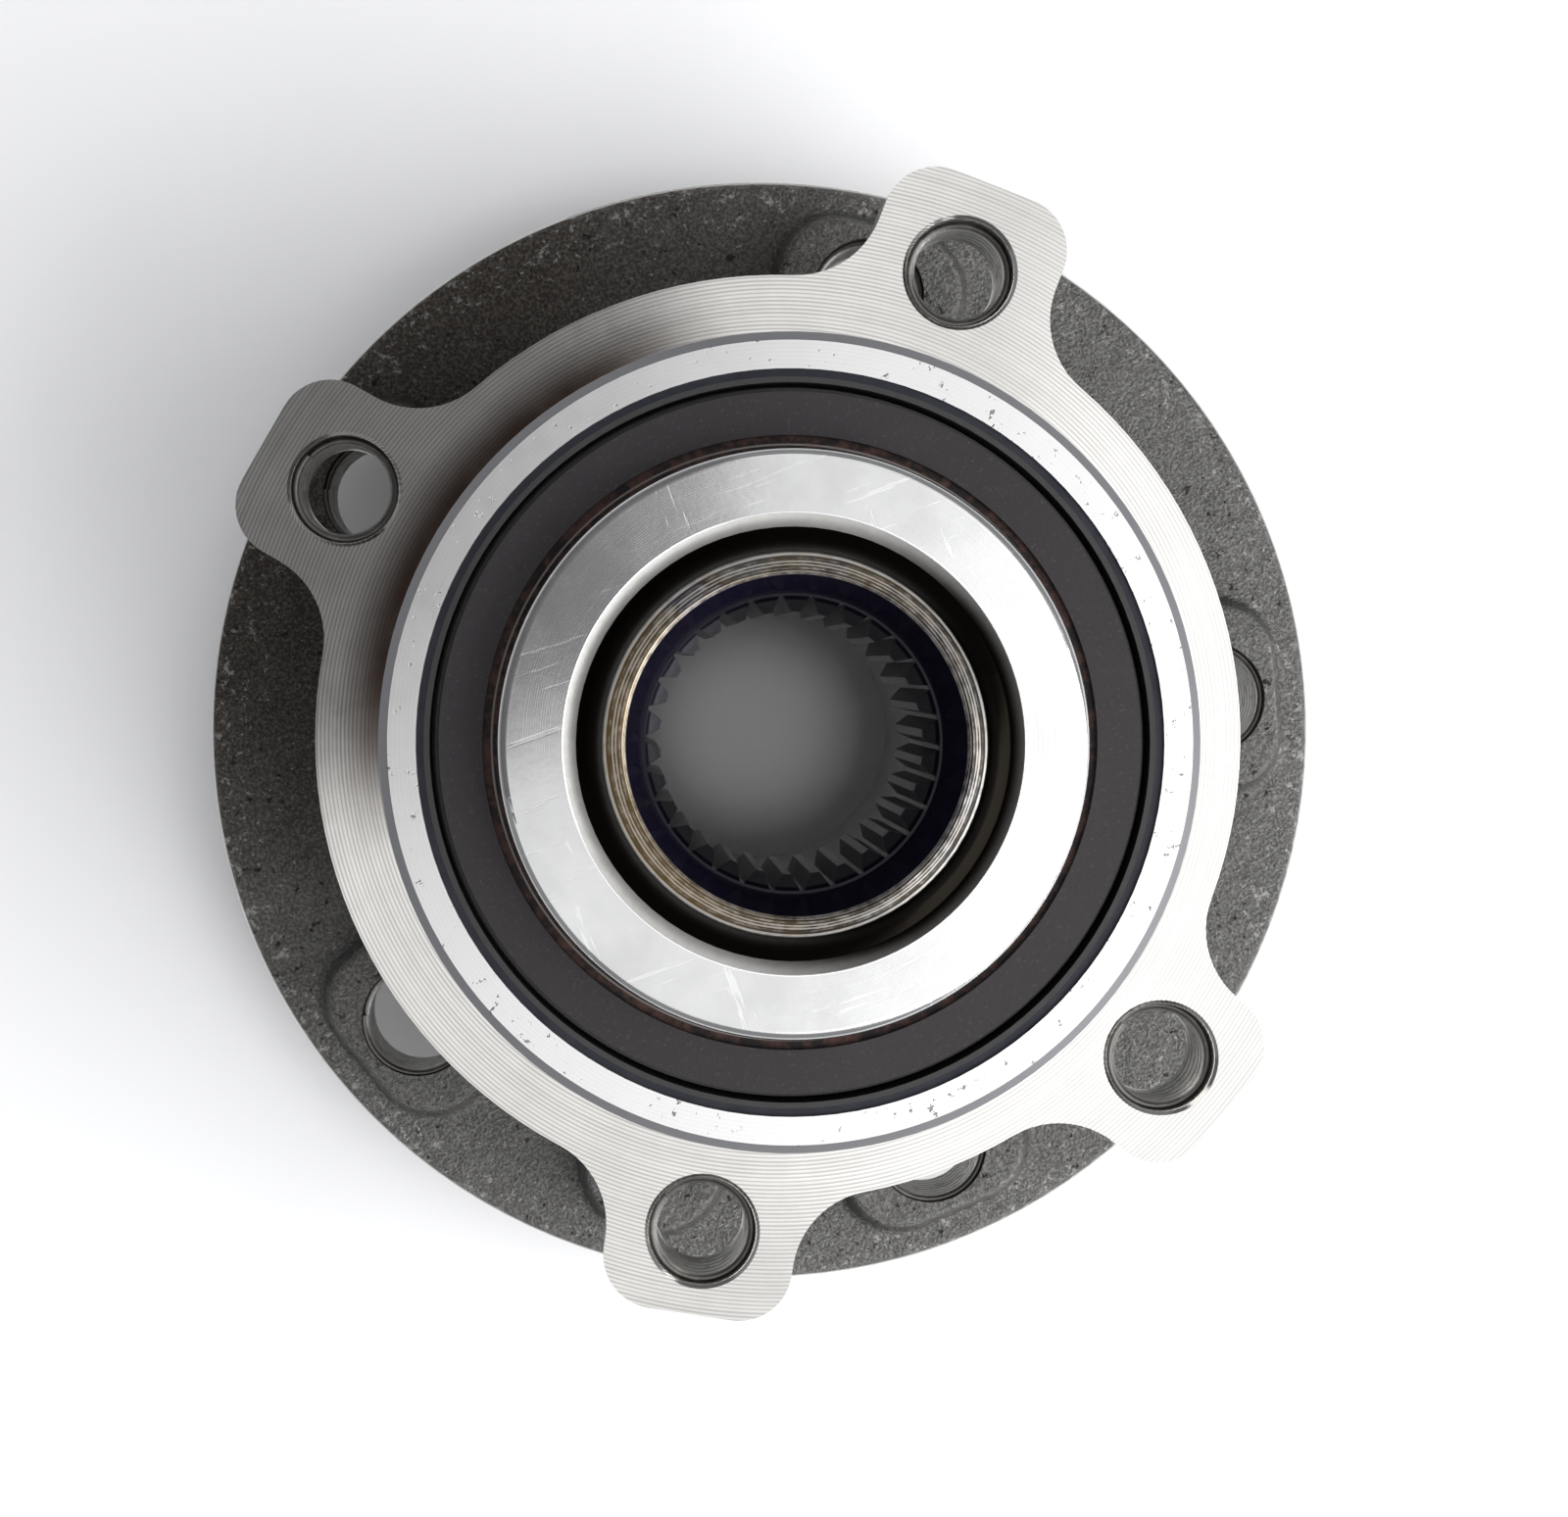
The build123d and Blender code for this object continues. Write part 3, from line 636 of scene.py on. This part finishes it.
def soft_light(name, place, aim, size, power, spin=0.0):
    """A rectangular soft light that shines from one point as the camera sees it to another."""
    light = bpy.data.lights.new(name, "AREA")
    light.shape = "RECTANGLE"
    light.size, light.size_y = size
    light.energy = power
    lamp = bpy.data.objects.new(name, light)
    start, end = (Vector(in_view(*point)) for point in (place, aim))
    lamp.location = start
    lamp.rotation_euler = (start - end).to_track_quat("Z", "Y").to_euler()
    lamp.rotation_euler.rotate_axis("Z", math.radians(spin))
    bpy.context.scene.collection.objects.link(lamp)


soft_light(
    "window_right", place=(1.22, -0.58, 0.95), aim=(0.0, 0.0, 0.05), size=(1.6, 1.6), power=36.0
)
soft_light("ceiling", place=(-0.02, 0.0, 1.6), aim=(-0.02, 0.0, 0.0), size=(1.7, 1.7), power=8.7)
soft_light(
    "ceiling_right", place=(0.54, -0.36, 1.5), aim=(0.54, -0.36, 0.0), size=(0.8, 1.2), power=3.0,
    spin=-32.0,
)

# a narrow lamp straight above shines down the bore
beam = bpy.data.lights.new("bore_lamp", "SPOT")
beam.energy = 8.0
beam.spot_size = math.radians(1.5)
beam.spot_blend = 1.0
beam.shadow_soft_size = 0.004
bore_lamp = bpy.data.objects.new("bore_lamp", beam)
bore_lamp.location = (0.0, 0.0, 1.2)
bpy.context.scene.collection.objects.link(bore_lamp)

world = bpy.data.worlds.new("room")
bpy.context.scene.world = world
world.use_nodes = True
backdrop = world.node_tree.nodes["Background"]
backdrop.inputs["Color"].default_value = (0.88, 0.89, 0.92, 1.0)
backdrop.inputs["Strength"].default_value = 0.42

# A dark card beside the camera is mirrored in the bright steel. Only reflections see it.
card_height = 0.392
card_outline = ((0.032, -0.007), (-0.110, 0.800), (-0.900, 0.800), (-0.900, -0.205))
card_mesh = bpy.data.meshes.new("dark_card")
card_mesh.from_pydata(
    [in_view(*corner, card_height, camera_place) for corner in card_outline], [], [(0, 1, 2, 3)]
)
shade = bpy.data.objects.new("dark_card", card_mesh)
bpy.context.scene.collection.objects.link(shade)
card = Finish("dark_card")
card_mesh.materials.append(
    card.surface(
        card.blend(card.noise(50.0), (0.19, 0.187, 0.19), (0.23, 0.225, 0.225)),
        0.8 + 0.1 * card.noise(9.0),
        0.0,
    )
)
shade.visible_camera = False
shade.visible_diffuse = False
shade.visible_shadow = False

camera = bpy.data.cameras.new("camera")
camera.sensor_width = 36.0
camera.lens = 68.13
camera.shift_x = 0.1156
camera.shift_y = -0.0594
camera.clip_start = 0.01
viewer = bpy.data.objects.new("camera", camera)
viewer.location = camera_place
viewer.rotation_euler = (0.0, 0.0, view_turn)
bpy.context.scene.collection.objects.link(viewer)
bpy.context.scene.camera = viewer
bpy.context.scene.view_settings.view_transform = "Standard"
